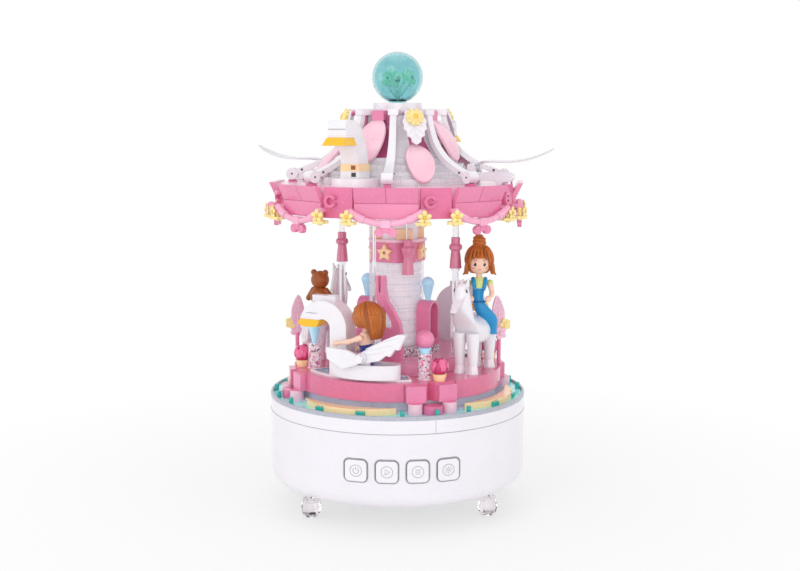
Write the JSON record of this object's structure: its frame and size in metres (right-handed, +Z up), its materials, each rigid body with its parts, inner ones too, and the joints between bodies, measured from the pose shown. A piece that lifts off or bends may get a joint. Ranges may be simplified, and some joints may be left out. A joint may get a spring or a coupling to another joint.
{
  "type": "carousel music box",
  "caption": "Toy carousel music box on a white drum base with four push buttons, swan boats, horses, a tent roof and a teal globe on top.",
  "frame": {"origin": "on the turning axis at the floor, under the middle of the base", "axes": "+Z up along the turning axis, -Y to the front where the buttons are, +X to the right"},
  "size_m": [0.1434, 0.132, 0.226],
  "materials": {
    "white_gloss": "gloss white with a faint lilac cast",
    "silver_trim": "satin silver grey",
    "clear_glass": "clear gloss",
    "glitter_clear": "clear with fine glitter",
    "teal_clear": "clear teal gloss",
    "pink": "gloss pink",
    "light_pink": "gloss light pink",
    "cream": "gloss cream",
    "yellow": "gloss pale yellow",
    "beak_yellow": "gloss golden yellow",
    "pond_blue": "gloss grey blue",
    "light_blue": "gloss light blue",
    "candy": "gloss deep pink",
    "maroon": "gloss dark maroon",
    "hair_brown": "satin chestnut",
    "bear_brown": "satin brown",
    "skin": "satin skin tone",
    "navy": "satin navy",
    "blue_dress": "satin bright blue",
    "steel": "plated",
    "board": "matt green laminate",
    "black_plastic": "matt black",
    "gear_plastic": "matt natural"
  },
  "bodies": {
    "base": {"base_shell": "white_gloss", "base_floor": "white_gloss", "top_band": "white_gloss", "trim_ring": "silver_trim", "crystal_feet": "clear_glass", "base_screws": "steel", "battery_pack": "black_plastic", "circuit_board": "board", "speaker": "black_plastic", "drive_motor": "steel"},
    "carousel": {"turntable_spindle": "gear_plastic", "turntable_deck": "teal_clear", "cream_trim": "cream", "platform_wall": "pink", "pond_plates": "pond_blue", "hub_bricks": "pink", "clear_column": "clear_glass", "ride_poles": "clear_glass", "pink_trim": "pink", "swan_boats": "white_gloss", "swan_beaks": "beak_yellow", "horses": "white_gloss", "bear": "bear_brown", "balloons": "light_blue", "candy_balls": "candy", "glitter_posts": "glitter_clear", "canopy_ceiling": "pink", "roof_drum": "white_gloss", "roof_cone": "maroon", "roof_ribs": "white_gloss", "canopy_clips": "pink", "roof_petals": "light_pink", "valance_panels": "pink", "garlands": "light_pink", "flowers": "yellow", "roof_leaves": "white_gloss", "roof_swans": "white_gloss", "globe": "teal_clear", "girl_dress": "navy", "rider_dress": "blue_dress"},
    "pinion": {"motor_pinion": "gear_plastic"},
    "power_key": {"power_button": "white_gloss"},
    "play_key": {"play_button": "white_gloss"},
    "mode_key": {"mode_button": "white_gloss"},
    "light_key": {"light_button": "white_gloss"},
    "roof_wing_right_body": {"roof_wing_right": "white_gloss"},
    "roof_wing_left_body": {"roof_wing_left": "white_gloss"},
    "boat_wing_front_body": {"boat_wing_front": "white_gloss"},
    "boat_wing_rear_body": {"boat_wing_rear": "white_gloss"},
    "far_wing_front_body": {"far_wing_front": "white_gloss"},
    "far_wing_rear_body": {"far_wing_rear": "white_gloss"},
    "girl_head_body": {"girl_head": "skin", "girl_hair": "hair_brown"},
    "rider_head_body": {"rider_head": "skin", "rider_hair": "hair_brown"},
    "girl_arm_left_body": {"girl_arm_left": "skin"},
    "girl_arm_right_body": {"girl_arm_right": "skin"},
    "rider_arm_left_body": {"rider_arm_left": "skin"},
    "rider_arm_right_body": {"rider_arm_right": "skin"}
  },
  "joints": [
    {"name": "carousel_spin", "type": "hinge", "parent": "base", "child": "carousel", "pos_m": [0, 0, 0.057], "axis": [0, 0, 1], "continuous": true},
    {"name": "pinion_spin", "type": "hinge", "parent": "base", "child": "pinion", "pos_m": [-0.0321, 0, 0.0395], "axis": [0, 0, 1], "continuous": true},
    {"name": "power_press", "type": "slide", "parent": "base", "child": "power_key", "axis": [0, 1, 0], "range_m": [0, 0.001], "stiffness_N_per_m": 600},
    {"name": "play_press", "type": "slide", "parent": "base", "child": "play_key", "axis": [0, 1, 0], "range_m": [0, 0.001], "stiffness_N_per_m": 600},
    {"name": "mode_press", "type": "slide", "parent": "base", "child": "mode_key", "axis": [0, 1, 0], "range_m": [0, 0.001], "stiffness_N_per_m": 600},
    {"name": "light_press", "type": "slide", "parent": "base", "child": "light_key", "axis": [0, 1, 0], "range_m": [0, 0.001], "stiffness_N_per_m": 600},
    {"name": "roof_wing_right_hinge", "type": "hinge", "parent": "carousel", "child": "roof_wing_right_body", "pos_m": [0.03569, -0.02019, 0.1702], "axis": [-0.4924, -0.8704, 0], "range_deg": [0, 20]},
    {"name": "roof_wing_left_hinge", "type": "hinge", "parent": "carousel", "child": "roof_wing_left_body", "pos_m": [-0.03569, 0.02019, 0.1702], "axis": [0.4924, 0.8704, 0], "range_deg": [0, 20]},
    {"name": "boat_wing_front_hinge", "type": "hinge", "parent": "carousel", "child": "boat_wing_front_body", "pos_m": [-0.01815, -0.04833, 0.0828], "axis": [0.4924, 0.8704, 0], "range_deg": [-12, 20]},
    {"name": "boat_wing_rear_hinge", "type": "hinge", "parent": "carousel", "child": "boat_wing_rear_body", "pos_m": [-0.01815, -0.04833, 0.0828], "axis": [-0.4924, -0.8704, 0], "range_deg": [0, 25]},
    {"name": "far_wing_front_hinge", "type": "hinge", "parent": "carousel", "child": "far_wing_front_body", "pos_m": [0.01815, 0.04833, 0.0828], "axis": [-0.4924, -0.8704, 0], "range_deg": [-12, 20]},
    {"name": "far_wing_rear_hinge", "type": "hinge", "parent": "carousel", "child": "far_wing_rear_body", "pos_m": [0.01815, 0.04833, 0.0828], "axis": [0.4924, 0.8704, 0], "range_deg": [0, 25]},
    {"name": "girl_head_turn", "type": "hinge", "parent": "carousel", "child": "girl_head_body", "pos_m": [-0.01642, -0.04, 0.0954], "axis": [0, 0, 1], "range_deg": [-10, 10]},
    {"name": "rider_head_turn", "type": "hinge", "parent": "carousel", "child": "rider_head_body", "pos_m": [0.03913, -0.01938, 0.1186], "axis": [0, 0, 1], "range_deg": [-25, 25]},
    {"name": "girl_arm_left_swing", "type": "hinge", "parent": "carousel", "child": "girl_arm_left_body", "pos_m": [-0.01903, -0.04461, 0.0916], "axis": [-0.4924, -0.8704, 0], "range_deg": [-12, 12]},
    {"name": "girl_arm_right_swing", "type": "hinge", "parent": "carousel", "child": "girl_arm_right_body", "pos_m": [-0.01381, -0.03538, 0.0916], "axis": [-0.4924, -0.8704, 0], "range_deg": [0, 20]},
    {"name": "rider_arm_left_swing", "type": "hinge", "parent": "carousel", "child": "rider_arm_left_body", "pos_m": [0.04442, -0.01961, 0.1138], "axis": [0.999, -0.0436, 0], "range_deg": [-12, 12]},
    {"name": "rider_arm_right_swing", "type": "hinge", "parent": "carousel", "child": "rider_arm_right_body", "pos_m": [0.03383, -0.01915, 0.1138], "axis": [0.999, -0.0436, 0], "range_deg": [-8, 12]}
  ],
  "couplings": [
    {"joint": "pinion_spin", "follows": "carousel_spin", "ratio": -3}
  ]
}
